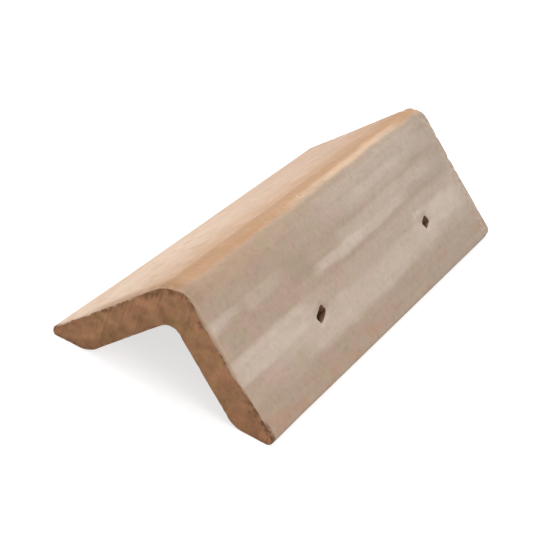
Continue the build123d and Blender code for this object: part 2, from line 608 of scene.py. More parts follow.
def pressed_skin(section, sizes, holes):
    """The skin of the tile before its ends are cut, as arrays (column, row): x and z of each point, the
    section's outward direction there, its distance round the skin from the sharp toe, and how much it is
    lining. Row r lies at its share of the length, and the radii of the ridge and of the long toe's sole go
    smoothly from the front's to the rear's."""
    crowds = [0, 1] + [place / tile_length for place, mouth in hole_places(holes)]
    shares = crowded(LENGTH_STEPS, crowds, width=0.03, extra=2.2)
    ones = np.ones_like(shares)
    radii = [
        sizes.short_sole * ones,
        sizes.nose_top * ones,
        sizes.front_ridge + (sizes.rear_ridge - sizes.front_ridge) * smooth(shares, 0.0, 1.0),
        sizes.nose_top * ones,
        sizes.front_sole + (sizes.rear_sole - sizes.front_sole) * smooth(shares, 0.0, 0.3),
        sizes.long_heel * ones,
        sizes.cove * ones,
        sizes.short_heel * ones,
    ]
    arc_steps = [TOE_STEPS, TOE_STEPS, RIDGE_STEPS, TOE_STEPS, TOE_STEPS, HEEL_STEPS, COVE_STEPS, HEEL_STEPS]
    runs = [
        even(NOSE_STEPS),
        even(SHORT_SKIN_STEPS),
        crowded(LONG_SKIN_STEPS, [0.53], width=0.10, extra=1.4),
        even(NOSE_STEPS),
        even(FOOT_STEPS),
        even(LINING_STEPS),
        even(LINING_STEPS),
        even(FOOT_STEPS),
    ]
    nose_middle = TOE_STEPS + NOSE_STEPS // 2
    outline = np.roll(rounded(section.corners, radii, arc_steps, runs), -nose_middle, axis=0)
    step = np.roll(outline, -1, axis=0) - np.roll(outline, 1, axis=0)
    step = step / np.linalg.norm(step, axis=-1, keepdims=True)
    outward = np.stack([-step[..., 1], step[..., 0]], axis=-1)

    # the two halves of the ring, toe to toe, share their distances, so no pattern has a seam at the toes
    half = len(outline) // 2
    gaps = np.linalg.norm(np.diff(outline[:half + 1], axis=0), axis=-1)
    around = np.concatenate([np.zeros((1, len(shares))), np.cumsum(gaps, axis=0)])
    around = around - around[nose_middle] + np.linalg.norm(outline[nose_middle] - section.short_toe, axis=-1)
    around = np.concatenate([around, around[-2:0:-1]])
    column = np.arange(len(outline))
    lining = smooth(np.minimum(column - half, len(outline) - column), 2, 14)[:, None] * ones
    return shares, outline, outward, around, lining


def skin_relief(section, outline, around, along, lining, relief, holes):
    """How far each point of the skin lies inside the die's outline. It is the slow warp, the lengthwise
    streaks, which change fast round the skin and slowly along it, and the grain, all faint at the toes,
    then the dish at the mouth of each hole, less the curl of the toes' front corners and the ridge's
    squared shoulder."""
    seed = relief.seed
    offset = lining * 0.5
    free = smooth(np.minimum(around, around.max() - around), 0.008, 0.040)
    depth = relief.warp * free * waves(around, along, WARP_WAVES, seed, offset)
    for width, share in STREAK_WIDTHS:
        size = (width, width * STREAK_STRETCH)
        lines = waves(around, along, size, seed + round(width * 1e4), 7 * offset)
        depth = depth + relief.streak * share * lines
    depth = depth + relief.grain * waves(around, along, SAND_GRAINS, seed + 5)
    depth = depth * (0.35 + 0.65 * free)
    down = (outline - section.ridge) @ section.down_long_leg()
    outer = (1 - lining) * smooth(down, 0.030, 0.034)
    for place, mouth in hole_places(holes):
        gap = punch_distance(down, along, holes, place, mouth)
        lip = np.exp(-(((gap - LIP_PLACE) / LIP_WIDTH) ** 2))
        depth = depth + outer * holes.dish * (np.exp(-((gap / DISH_REACH) ** 2)) - LIP_SHARE * lip)
    curled = sum(cover(corner, around, along) for corner in CURLED_CORNERS)
    squared = cover(SQUARED_SHOULDER, around, along)
    return np.maximum(depth, 0) - (1 - lining) * (relief.curl * curled + relief.shoulder * squared)


def end_relief(x, z, side, relief, seed):
    """How far each point of a cut end lies inside the flat cut: lines dragged down by the wire, which
    change fast across its travel and slowly along it, shallow torn patches, and the gashes of the front
    end."""
    across = x * cos(WIRE_TRAVEL) + z * sin(WIRE_TRAVEL)
    down = z * cos(WIRE_TRAVEL) - x * sin(WIRE_TRAVEL)
    lines = waves(across, down, WIRE_LINES, seed)
    wide = waves(across, down, WIRE_BANDS, seed + 1)
    patches = smooth(marks(across, down, WIRE_TEARS, seed + 2), 0.35, 0.8)
    gashes = smudged(GASHES, x, z) if side < 0 else 0
    return relief.drag * (0.55 * lines + 0.6 * wide + 0.7 * patches) + relief.gash * gashes


def arris_radius(around, lining, side, relief, seed):
    """Radius of the edge at each column of a cut end: the usual arris, what wear adds to it on the front of
    the long leg, and torn bites where noise runs high."""
    coarse = noise(around / BITE_GROUP + 40 * lining, lining * 3.0, seed)
    fine = noise(around / BITE + 40 * lining, lining * 3.0, seed + 1)
    worn = sum(cover(span, around, 0) for span in WORN_SPANS) * (1 - lining) * (side < 0)
    bites = smooth(fine + 0.7 * coarse, 0.25, 1.1) * (1 - 0.4 * lining) * (1 - 0.7 * worn)
    if side > 0:
        bites = bites * REAR_BITES
    return relief.arris * (1 + 0.4 * coarse) + relief.worn_arris * worn + relief.ragged * bites


def cut_body(section, sizes, relief, holes):
    """All the points of the tile as an array (column, row, 3), and what its materials read at each. The
    rows are the pressed skin, and beyond it at each end a quarter turn of arris: a point there is drawn in
    by the radius times one less the cosine, and lies along the tile by the radius times the sine."""
    shares, outline, outward, around, lining = pressed_skin(section, sizes, holes)
    half_length = tile_length / 2
    front_radius = arris_radius(around[:, :1], lining[:, :1], -1, relief, relief.seed + FRONT_ARRIS_SEED)
    rear_radius = arris_radius(around[:, -1:], lining[:, -1:], 1, relief, relief.seed + REAR_ARRIS_SEED)
    along = front_radius + (tile_length - front_radius - rear_radius) * shares
    depth = skin_relief(section, outline, around, along, lining, relief, holes)
    flat = outline - outward * depth[..., None]

    turn = np.linspace(0, pi / 2, ARRIS_STEPS + 1)[1:]
    ends = ((0, front_radius, -1, FRONT_CUT_SEED), (-1, rear_radius, 1, REAR_CUT_SEED))
    rings = []
    for row, radius, side, added in ends:
        ring = flat[:, row:row + 1 or None] - outward[:, row:row + 1 or None] * (
            radius * (1 - np.cos(turn)))[..., None]
        inset = end_relief(ring[..., 0], ring[..., 1], side, relief, relief.seed + added) * np.sin(turn)
        y = side * (half_length - radius + radius * np.sin(turn) - inset)
        rings.append(np.concatenate([ring[..., :1], y[..., None], ring[..., 1:]], axis=-1))
    skin = np.stack([flat[..., 0], along - half_length, flat[..., 1]], axis=-1)
    points = np.concatenate([rings[0][:, ::-1], skin, rings[1]], axis=1)

    def carried(values):
        """The same values carried over the rows of both arrises."""
        front = np.repeat(values[:, :1], ARRIS_STEPS, axis=1)
        rear = np.repeat(values[:, -1:], ARRIS_STEPS, axis=1)
        return np.concatenate([front, values, rear], axis=1)

    # the torn rim over each arris, partly painted shade under the ragged edge, strongest at the cut end
    deep = np.linspace(0.15, 1, ARRIS_STEPS)
    outer = 1 - lining[:, :1]
    front_torn_and_shade = deep * outer * torn_and_shaded_rim(around[:, :1], -1, relief.seed)
    rear_torn_and_shade = deep * outer * torn_and_shaded_rim(around[:, -1:], 1, relief.seed)
    torn = np.concatenate([front_torn_and_shade[:, ::-1], np.zeros_like(along), rear_torn_and_shade], axis=1)
    return points, carried(around), carried(lining), torn


def torn_and_shaded_rim(around, side, seed):
    """How dark and torn the outer edge of a cut end is at each column, partly torn clay and partly
    painted shade under the ragged edge: the spans of the front end, or noise at the rear one."""
    if side < 0:
        return streaked(TORN_AND_SHADED_SPANS, around, 0)
    return 0.7 * smooth(noise(around / REAR_STRETCH, np.zeros_like(around), seed + REAR_TORN_AND_SHADED_SEED), -0.5, 0.6)


def end_cap(ring, side, relief, seed):
    """Points of a cut end inside its ring, as an array (column, step, 3). The ring's first half, toe to
    toe, is the outer skin, and its second half the lining. Each point divides the straight from one to the
    other."""
    half = len(ring) // 2
    outer = ring[1:half]
    inner = ring[:half:-1]
    share = even(WALL_STEPS)[1:-1, None]
    points = outer[:, None] * (1 - share) + inner[:, None] * share
    inset = end_relief(points[..., 0], points[..., 2], side, relief, seed)
    points[..., 1] = side * (tile_length / 2 - inset)
    return points


def tube_faces(columns, rows):
    """Quads of the skin: each joins a point to the next in its column and to those beside them."""
    index = np.arange(columns * rows).reshape(columns, rows)
    beside = np.roll(index, -1, axis=0)
    quads = np.stack([index[:, :-1], beside[:, :-1], beside[:, 1:], index[:, 1:]], axis=-1)
    return quads.reshape(-1, 4)


def cap_faces(ring, first, side):
    """Quads and triangles of a cut end, from the numbers of its ring's points and of its first inner
    point."""
    half = len(ring) // 2
    steps = WALL_STEPS - 1
    inside = first + np.arange((half - 1) * steps).reshape(half - 1, steps)
    grid = np.concatenate([ring[1:half, None], inside, ring[:half:-1, None]], axis=1)
    quads = np.stack([grid[:-1, :-1], grid[1:, :-1], grid[1:, 1:], grid[:-1, 1:]], axis=-1).reshape(-1, 4)
    short_end = np.full(WALL_STEPS, ring[0])
    long_end = np.full(WALL_STEPS, ring[half])
    fans = np.concatenate([
        np.stack([short_end, grid[0, :-1], grid[0, 1:]], axis=-1),
        np.stack([long_end, grid[-1, 1:], grid[-1, :-1]], axis=-1),
    ])
    if side < 0:
        return quads[:, ::-1], fans[:, ::-1]
    return quads, fans


def dent(points, place, direction, reach, depth):
    """Pushes points in along a direction. The push is the depth times the square of one less the squared
    share of the reach."""
    gap = np.linalg.norm(points - place, axis=-1) / reach
    push = depth * np.clip(1 - gap**2, 0, None) ** 2
    return points + push[:, None] * direction


def worn_corners(points, section):
    """The long toe's rear end, rubbed off from below by handling, and its front end, only touched."""
    toe = np.array([section.long_toe[0] - 0.004, 0, 0.0])
    front = np.array([0, -tile_length / 2, 0])
    rear = np.array([0, tile_length / 2, 0])
    points = dent(points, toe + front, np.array([-0.55, 0.30, 0.30]), reach=0.0040, depth=0.0002)
    return dent(points, toe + rear, np.array([-0.60, -0.90, 0.70]), reach=0.0080, depth=0.0012)


def chipped_edges(points, ring_points, side, relief, seed):
    """Small chips round a cut end, each a dent towards the middle of the wall."""
    rng = np.random.default_rng(seed)
    half = len(ring_points) // 2
    for _ in range(relief.chips):
        column = int(rng.integers(4, half - 4))
        place = ring_points[column]
        inward = ring_points[-column] - place
        inward = inward / np.linalg.norm(inward) + np.array([0, -0.6 * side, 0])
        points = dent(points, place, inward, rng.uniform(0.0010, 0.0030), rng.uniform(0.0002, 0.0007))
    return points


def skin_masks(around, along, lining, seed):
    """How much of each colour the skin shows, from 0 to 1. Every edge is waved by noise. Warm is the short
    leg's skin, ridgeward and rearward are how it turns with place, scorched is its brown front edge and
    smeared the body clay dragged over both toes there. Stripe is the tan line, ridge_highlight the painted
    highlight, a pale line beside it, pale and dusk the thick and thin bloom, and flush the tint near the long
    toe. Rubbed is the pale rim of the front edge, and burr the specks at the rear one."""
    wave = 0.0009 * marks(around, along, EDGE_WAVES, seed)
    wave = wave + 0.0008 * marks(around, along, EDGE_RIPPLES, seed + 1)
    place = around + wave
    fade = waves(around, along, FADES, seed + 2)
    fibre = marks(around, along, FIBRES, seed + 3)
    clumps = waves(around, along, CLUMPS, seed + 6)

    stripe = cover(RIDGE_LINE, place, along) * (0.50 + 0.26 * fade)
    stripe = np.maximum(stripe, cover(RIDGE_LINE_START, place, along) * (0.66 + 0.25 * fade))
    for streak in BROWNED_STREAKS:
        stripe = np.maximum(stripe, cover(streak, place, along))
    pale = streaked(PALE_STREAKS, place, along) * (0.72 + 0.2 * fade + 0.3 * clumps) + 0.05 * fibre
    dusk = streaked(DUSK_STREAKS, place, along) * (0.8 + 0.3 * fade) - 0.04 * fibre

    # the bloom starts a little further round on the rear half
    bloomed = smooth(place - 0.0012 * smooth(along, 0.175, 0.225), 0.0950, 0.1020)
    off_toes = band(place, 0.012, 0.183, 0.007)
    worn = band(place, 0.116, 0.158, 0.010)
    specks = np.abs(marks(around, along, BURR_SPECKS, seed + 5))
    return {
        "warm": 1 - bloomed,
        "ridgeward": smooth(place, 0.030, 0.088),
        "rearward": smooth(along, 0.090, 0.335) * (0.8 + 0.2 * fade),
        "stripe": stripe,
        "scorched": cover(SCORCHED_EDGE, place, along),
        "smeared": (1 - off_toes) * (1 - smooth(along, 0.0016, 0.0036)),
        "ridge_highlight": streaked(RIDGE_HIGHLIGHT_STREAKS, place, along) * (0.85 + 0.15 * fade),
        "pale": np.clip(pale, 0, 1),
        "dusk": np.clip(dusk, 0, 1),
        "flush": smooth(place, 0.1830, 0.1900) * smooth(marks(around, along, FLUSHES, seed + 4), 0.0, 0.7),
        "rubbed": (1 - smooth(along, 0.0018, 0.0034)) * (0.20 + 0.45 * worn),
        "burr": smooth(along, tile_length - 0.013, tile_length - 0.003) * smooth(specks, 0.2, 0.7),
        "lining": lining,
    }


def give_values(mesh, name, values):
    """Stores one number for each point of the mesh, for its materials to read."""
    attribute = mesh.attributes.new(name, "FLOAT", "POINT")
    attribute.data.foreach_set("value", np.asarray(values, np.float32).ravel())


def mesh_from(name, points, faces):
    """A mesh of these points and faces. Faces is a list of arrays, each of faces with the same number of
    corners."""
    mesh = bpy.data.meshes.new(name)
    sizes = np.concatenate([np.full(len(group), group.shape[1]) for group in faces])
    corners = np.concatenate([group.ravel() for group in faces])
    starts = np.concatenate([[0], np.cumsum(sizes)[:-1]])
    mesh.vertices.add(len(points))
    mesh.vertices.foreach_set("co", points.astype(np.float32).ravel())
    mesh.loops.add(len(corners))
    mesh.loops.foreach_set("vertex_index", corners.astype(np.int32))
    mesh.polygons.add(len(sizes))
    mesh.polygons.foreach_set("loop_start", starts.astype(np.int32))
    mesh.update(calc_edges=True)
    mesh.validate()
    return mesh


def tile_mesh(section, sizes, relief, holes):
    """The whole tile without its nail holes, as one closed mesh. Its skin uses the first material and its
    cut ends the second."""
    points, around, lining, torn = cut_body(section, sizes, relief, holes)
    columns, rows = around.shape
    index = np.arange(columns * rows).reshape(columns, rows)
    front = end_cap(points[:, 0], -1, relief, relief.seed + FRONT_CUT_SEED)
    rear = end_cap(points[:, -1], 1, relief, relief.seed + REAR_CUT_SEED)
    first_front = columns * rows
    first_rear = first_front + front.shape[0] * front.shape[1]
    front_quads, front_fans = cap_faces(index[:, 0], first_front, -1)
    rear_quads, rear_fans = cap_faces(index[:, -1], first_rear, 1)

    everything = np.concatenate([points.reshape(-1, 3), front.reshape(-1, 3), rear.reshape(-1, 3)])
    everything = chipped_edges(everything, points[:, 0], -1, relief, relief.seed + FRONT_CHIPS_SEED)
    everything = chipped_edges(everything, points[:, -1], 1, relief, relief.seed + REAR_CHIPS_SEED)
    everything = worn_corners(everything, section)
    everything = np.clip(everything, list(box_low), list(box_high))
    skin_quads = tube_faces(columns, rows)
    cut_faces = [front_quads, rear_quads, front_fans, rear_fans]
    mesh = mesh_from("rake_tile_clay", everything, [skin_quads, *cut_faces])

    cut_count = sum(len(group) for group in cut_faces)
    material = np.concatenate([np.zeros(len(skin_quads), np.int32), np.ones(cut_count, np.int32)])
    mesh.polygons.foreach_set("material_index", material)
    mesh.polygons.foreach_set("use_smooth", np.ones(len(material), bool))

    spare = len(everything) - around.size
    wall = even(WALL_STEPS)[1:-1]
    from_skin = np.tile(wall, spare // len(wall))
    along = points[..., 1] + tile_length / 2
    masks = skin_masks(around, along, lining, relief.seed + COLOUR_SEED)
    for name, values in (*masks.items(), ("around", around), ("along", along)):
        give_values(mesh, name, np.concatenate([values.ravel(), np.zeros(spare)]))
    give_values(mesh, "from_skin", np.concatenate([lining.ravel(), from_skin]))

    half = columns // 2
    # the torn rim runs a little way onto each cut end, partly as painted shade under the ragged edge
    rim = 1 - smooth(from_skin, 0.04, 0.19)
    cap_torn_and_shade = [np.repeat(torn[1:half, row], len(wall)) for row in (0, -1)]
    give_values(mesh, "torn", np.concatenate([torn.ravel(), rim * np.concatenate(cap_torn_and_shade)]))
    front_only = everything[:, 1] < 0
    for name, smudges in (("red", RED_SMUDGES), ("olive", OLIVE_SMUDGES), ("gash", GASHES)):
        give_values(mesh, name, front_only * smudged(smudges, everything[:, 0], everything[:, 2]))
    return mesh


def punch_points(section, holes, wall, place, mouth, seed):
    """The space that the punch left, as points (column, row, 3): the mouth's rounded rectangle, turned by
    the lean, carried square into the long leg and closing in by the taper, with its walls a little wavy. A
    point of the rectangle is the half size times the cosine and sine of the turn, each squared off by a
    root."""
    around = np.linspace(0, 2 * pi, PUNCH_STEPS, endpoint=False)
    depth = np.linspace(-PUNCH_OUTSIDE, wall + PUNCH_INSIDE, PUNCH_RINGS)
    x = np.sign(np.cos(around)) * np.abs(np.cos(around)) ** PUNCH_SQUARENESS
    y = np.sign(np.sin(around)) * np.abs(np.sin(around)) ** PUNCH_SQUARENESS
    shrink = np.maximum(depth, 0) * tan(holes.taper)
    rough = PUNCH_WAVER * noise(around[:, None] * 2.6, depth / 0.0045 + 9, seed)
    long_side = (mouth / 2 - shrink + rough) * x[:, None]
    cross_side = (holes.width / 2 - shrink + rough) * y[:, None]
    along = place + long_side * cos(holes.lean) + cross_side * sin(holes.lean)
    down = holes.line - long_side * sin(holes.lean) + cross_side * cos(holes.lean)
    flat = section.ridge + down[..., None] * section.down_long_leg()
    flat = flat - depth[:, None] * section.out_of_long_leg()
    return np.stack([flat[..., 0], along - tile_length / 2, flat[..., 1]], axis=-1)


def punches_mesh(section, holes, wall, seed):
    """Both punches' spaces as one mesh of two closed shells."""
    points = []
    quads = []
    ends = []
    for number, (place, mouth) in enumerate(hole_places(holes)):
        shell = punch_points(section, holes, wall, place, mouth, seed + number)
        columns, rows = shell.shape[:2]
        first = number * columns * rows
        index = first + np.arange(columns * rows).reshape(columns, rows)
        points.append(shell.reshape(-1, 3))
        quads.append(first + tube_faces(columns, rows))
        ends.append(index[:, :1].T)
        ends.append(index[::-1, -1:].T)
    mesh = mesh_from("punches", np.concatenate(points), quads + ends)
    mesh.polygons.foreach_set("use_smooth", np.ones(len(mesh.polygons), bool))
    return mesh


class NodeSheet:
    """One material's nodes, with short ways to add the kinds that the clay uses."""

    def __init__(self, name):
        self.material = bpy.data.materials.new(name)
        self.material.use_nodes = True
        self.tree = self.material.node_tree
        self.tree.nodes.clear()

    def node(self, kind, inputs, output=0, **settings):
        """Adds a node, sets or links its inputs, and returns one of its outputs."""
        made = self.tree.nodes.new(kind)
        for name, value in settings.items():
            setattr(made, name, value)
        for key, value in inputs.items():
            if isinstance(value, bpy.types.NodeSocket):
                self.tree.links.new(value, made.inputs[key])
            else:
                made.inputs[key].default_value = value
        return made.outputs[output]

    def attribute(self, name):
        """The number that the mesh stores at each point under this name."""
        return self.node("ShaderNodeAttribute", {}, "Fac", attribute_name=name, attribute_type="GEOMETRY")

    def partly(self, name, most):
        """The stored number under this name, times the most that it may mix in."""
        return self.math("MULTIPLY", self.attribute(name), most)

    def tears_and_shade(self):
        """How torn the clay is at each point, partly painted shade under the ragged edges: the stored number,
        broken up by grains.
        """
        return self.math("MULTIPLY", self.attribute("torn"), self.spread(self.grains(420), 0.40, 0.56))

    def object_place(self, scale, turn=(0, 0, 0)):
        """Object coordinates, turned, then scaled along each axis."""
        place = self.node("ShaderNodeTexCoord", {}, "Object")
        turned = self.node("ShaderNodeMapping", {"Vector": place, "Rotation": turn})
        return self.node("ShaderNodeMapping", {"Vector": turned, "Scale": scale})

    def skin_place(self, across, along):
        """Coordinates that follow the skin: round it, along it, and a third that parts skin from lining."""
        x = self.math("MULTIPLY", self.attribute("around"), across)
        y = self.math("MULTIPLY", self.attribute("along"), along)
        z = self.math("MULTIPLY", self.attribute("lining"), 5.0)
        return self.node("ShaderNodeCombineXYZ", {"X": x, "Y": y, "Z": z})

    def noise(self, place, detail=2.0, rough=0.5):
        """Noise from 0 to 1 at a place, with its scale already in the coordinates."""
        inputs = {"Vector": place, "Scale": 1.0, "Detail": detail, "Roughness": rough}
        return self.node("ShaderNodeTexNoise", inputs, "Fac")

    def grains(self, scale, detail=3.0, rough=0.6):
        """Noise on Object coordinates, with grains of the same size in every direction."""
        return self.noise(self.object_place((scale, scale, scale)), detail, rough)

    def math(self, operation, first, second=0.0):
        """A sum of two numbers, of the kind that Blender's Math node names."""
        return self.node("ShaderNodeMath", {0: first, 1: second}, operation=operation)

    def spread(self, value, low, high, to_low=0.0, to_high=1.0):
        """Carries low to high over to another range, held at its ends."""
        inputs = {"Value": value, "From Min": low, "From Max": high, "To Min": to_low, "To Max": to_high}
        return self.node("ShaderNodeMapRange", inputs)

    def mixed(self, share, first, second):
        """The first colour going over to the second by a share. The Mix node's sockets for colours are
        inputs 6 and 7 and output 2."""
        inputs = {0: share, 6: opaque(first), 7: opaque(second)}
        return self.node("ShaderNodeMix", inputs, 2, data_type="RGBA")

    def toned(self, colour, tone):
        """The colour made lighter or darker by a factor."""
        return self.node("ShaderNodeVectorMath", {0: colour, "Scale": tone}, operation="SCALE")

    def total(self, *values):
        """All the numbers added up."""
        summed = values[0]
        for value in values[1:]:
            summed = self.math("ADD", summed, value)
        return summed

    def bump(self, height, distance, strength=1.0, under=None):
        """A normal that tilts with the height, over another bump if one is given."""
        inputs = {"Height": height, "Distance": distance, "Strength": strength}
        if under is not None:
            inputs["Normal"] = under
        return self.node("ShaderNodeBump", inputs)

    def finish(self, base, normal, roughness):
        """Ends the sheet with a matt surface of this colour and normal."""
        shader = self.node(
            "ShaderNodeBsdfPrincipled",
            {"Base Color": base, "Normal": normal, "Roughness": roughness, "Specular IOR Level": 0.25},
        )
        return self.end(shader)

    def end(self, surface):
        """Gives the material this surface and returns it."""
        last = self.tree.nodes.new("ShaderNodeOutputMaterial")
        self.tree.links.new(surface, last.inputs["Surface"])
        return self.material


def opaque(value):
    """A colour with the fourth part that its socket needs, or a socket as it is."""
    if isinstance(value, bpy.types.NodeSocket):
        return value
    return (*value, 1.0)


def skin_material(colours):
    """The pressed skin: grey bloom over the long leg, cream and peach on the short one, bare tan clay along
    the ridge, and plainer clay inside."""
    sheet = NodeSheet("pressed_clay_skin")
    clouds = sheet.noise(sheet.skin_place(62, 40), 1.5)
    drifts = sheet.noise(sheet.skin_place(90, 60), 1.5)
    patches = sheet.noise(sheet.skin_place(130, 95))
    streaks = sheet.noise(sheet.skin_place(380, 13), 3.0, 0.60)
    lines = sheet.noise(sheet.skin_place(1000, 40))
    mottle = sheet.noise(sheet.skin_place(260, 200), 4.0, 0.62)
    grain = sheet.grains(1500)
    spots = sheet.grains(330, 0.0, 0.4)

    # the long leg
    bloom = sheet.mixed(sheet.spread(clouds, 0.44, 0.60), colours.bloom, colours.bloom_pink)
    bloom = sheet.mixed(sheet.spread(drifts, 0.50, 0.66), bloom, colours.bloom_olive)
    bloom = sheet.mixed(sheet.partly("rearward", 0.8), bloom, colours.bloom_rear)
    bloom = sheet.mixed(sheet.attribute("dusk"), bloom, colours.dusk)
    bloom = sheet.mixed(sheet.attribute("pale"), bloom, colours.pale)
    bloom = sheet.mixed(sheet.partly("flush", 0.40), bloom, colours.flush)

    # the short leg
    ridgeward = sheet.attribute("ridgeward")
    dull = sheet.math("MULTIPLY", sheet.attribute("rearward"), sheet.spread(ridgeward, 0.3, 1.0, 0.8, 0.25))
    warm = sheet.mixed(ridgeward, colours.cream, colours.peach)
    warm = sheet.mixed(dull, warm, colours.rear)
    warm = sheet.mixed(sheet.attribute("scorched"), warm, colours.tan)
    warm = sheet.mixed(sheet.spread(drifts, 0.50, 0.68, 0.0, 0.42), warm, colours.peach)
    warm = sheet.mixed(sheet.spread(clouds, 0.50, 0.36, 0.0, 0.40), warm, colours.blush)

    # both together, with the ridge line between them
    skin = sheet.mixed(sheet.attribute("warm"), bloom, warm)
    skin = sheet.mixed(sheet.attribute("stripe"), skin, colours.tan)
    # the painted highlight along the ridge
    skin = sheet.mixed(sheet.attribute("ridge_highlight"), skin, colours.ridge_highlight)
    blotches = sheet.spread(mottle, 0.42, 0.58, 0.10, 0.55)
    skin = sheet.mixed(sheet.math("MULTIPLY", sheet.attribute("scorched"), blotches), skin, colours.torn)

    # the inner faces and the feet
    lining = sheet.mixed(sheet.spread(clouds, 0.35, 0.70, 0.0, 0.40), colours.lining, colours.peach)
    lining = sheet.mixed(sheet.spread(streaks, 0.48, 0.70, 0.0, 0.6), lining, colours.cut)
    skin = sheet.mixed(sheet.attribute("lining"), skin, lining)

    # lighter and darker marks at every scale, and the round mark on the ridge: a pale ring with a dark middle
    gap = sheet.node(
        "ShaderNodeVectorMath", {0: sheet.skin_place(1, 1), 1: CURL_MARK}, "Value", operation="DISTANCE"
    )
    from_ring = sheet.math("ABSOLUTE", sheet.math("SUBTRACT", gap, CURL_MARK_RADIUS))
    tone = sheet.total(
        sheet.spread(streaks, 0.3, 0.7, 0.978, 1.022),
        sheet.spread(mottle, 0.3, 0.7, -0.030, 0.030),
        sheet.spread(lines, 0.3, 0.7, -0.010, 0.010),
        sheet.spread(patches, 0.3, 0.7, -0.030, 0.030),
        sheet.spread(spots, 0.64, 0.76, 0.0, -0.07),
        sheet.spread(spots, 0.36, 0.24, 0.0, 0.05),
        sheet.spread(from_ring, 0.0002, 0.0010, 0.12, 0.0),
        sheet.spread(gap, 0.0006, 0.0016, -0.12, 0.0),
    )
    skin = sheet.toned(skin, tone)

    # the edges: pale where rubbed, brown where smeared, speckled with burr, dark where torn, partly as
    # painted shade
    skin = sheet.mixed(sheet.partly("rubbed", 0.60), skin, colours.peach)
    smear = sheet.mixed(sheet.spread(mottle, 0.46, 0.60, 0.0, 0.7), colours.torn, colours.cut_red)
    skin = sheet.mixed(sheet.partly("smeared", 0.85), skin, smear)
    burr = sheet.mixed(sheet.spread(mottle, 0.44, 0.54), colours.tan, colours.pale)
    skin = sheet.mixed(sheet.partly("burr", 0.70), skin, burr)
    skin = sheet.mixed(sheet.spread(sheet.tears_and_shade(), 0.30, 0.85, 0.0, 0.9), skin, colours.torn)

    height = sheet.total(
        sheet.math("MULTIPLY", lines, 0.5),
        sheet.math("MULTIPLY", mottle, 0.8),
        sheet.math("MULTIPLY", streaks, 0.6),
    )
    normal = sheet.bump(height, 0.00024, 0.6)
    normal = sheet.bump(grain, 0.00018, 0.5, normal)
    return sheet.finish(skin, normal, roughness=0.88)


def cut_material(colours):
    """The wire-cut ends: brown body clay with faint drag lines, painted shade that darkens it towards the
    lining, and torn along the outer edge, where the dark rim is partly painted shade under the ragged edge."""
    sheet = NodeSheet("wire_cut_clay")
    drag = sheet.noise(sheet.object_place((620, 60, 52), (0, WIRE_TRAVEL, 0)), 3.0, 0.6)
    clouds = sheet.noise(sheet.object_place((125, 125, 125), (0, 0.6, 0)), 2.0, 0.55)
    patches = sheet.grains(62, 3.0, 0.55)
    clots = sheet.grains(260)
    pits = sheet.grains(640, 2.0, 0.5)
    grain = sheet.grains(1500)
    inner = sheet.attribute("from_skin")

    # x is below 0 on the short leg and above 0 on the long one
    leg = sheet.node("ShaderNodeSeparateXYZ", {0: sheet.object_place((1, 1, 1))}, "X")

    # the body of the clay, in three tints
    clay = sheet.mixed(sheet.spread(patches, 0.42, 0.62, 0.0, 0.30), colours.cut, colours.cut_red)
    clay = sheet.mixed(sheet.spread(clots, 0.48, 0.68, 0.0, 0.40), clay, colours.cut_olive)
    clay = sheet.mixed(sheet.attribute("red"), clay, colours.cut_red)
    clay = sheet.mixed(sheet.attribute("olive"), clay, colours.cut_olive)

    # painted shade towards the lining, more so on the short leg, and a little lighter all over the long one
    deepest_painted_shade = sheet.spread(leg, -0.02, 0.01, -0.24, -0.06)
    shade = sheet.math("MULTIPLY", sheet.spread(inner, 0.60, 1.0), deepest_painted_shade)
    clay = sheet.toned(clay, sheet.math("ADD", shade, sheet.spread(leg, -0.02, 0.02, 1.0, 1.035)))

    # torn rim, partly painted shade under the ragged edge, gashes, and pits that thin out inwards
    clay = sheet.mixed(sheet.math("MULTIPLY", sheet.tears_and_shade(), 0.80), clay, colours.torn)
    clay = sheet.mixed(sheet.partly("gash", 0.75), clay, colours.torn)
    dots = sheet.math("MULTIPLY", sheet.spread(inner, 0.0, 0.28, 1.0, 0.25), sheet.spread(pits, 0.62, 0.74))
    clay = sheet.mixed(sheet.math("MULTIPLY", dots, 0.45), clay, colours.torn)

    # lighter and darker: drag lines where the patches let them show, clouds, and grain
    shown = sheet.spread(patches, 0.40, 0.6, 0.2, 1.0)
    lined = sheet.math("MULTIPLY", sheet.spread(drag, 0.3, 0.7, -0.16, 0.16), shown)
    cloudy = sheet.spread(clouds, 0.3, 0.7, -0.20, 0.20)
    cloudy = sheet.math("MULTIPLY", cloudy, sheet.spread(leg, -0.02, 0.01, 1.3, 1.0))
    clay = sheet.toned(clay, sheet.total(lined, cloudy, sheet.spread(grain, 0.3, 0.7, 0.96, 1.04)))

    normal = sheet.bump(drag, 0.00035, 0.6)
    normal = sheet.bump(clots, 0.0006, 0.6, normal)
    normal = sheet.bump(grain, 0.0003, 0.8, normal)
    return sheet.finish(clay, normal, roughness=0.93)


def punched_material(colours):
    """Walls of the nail holes: body clay, scored inwards by the punch."""
    sheet = NodeSheet("punched_clay")
    clots = sheet.grains(500)
    clay = sheet.mixed(sheet.spread(clots, 0.35, 0.75), colours.punched, colours.torn)
    normal = sheet.bump(clots, 0.0004, 0.7)
    return sheet.finish(clay, normal, roughness=0.93)


def baked_mesh(piece):
    """The piece's mesh with its modifiers applied."""
    graph = bpy.context.evaluated_depsgraph_get()
    finished = piece.evaluated_get(graph)
    return bpy.data.meshes.new_from_object(finished, preserve_all_data_layers=True, depsgraph=graph)


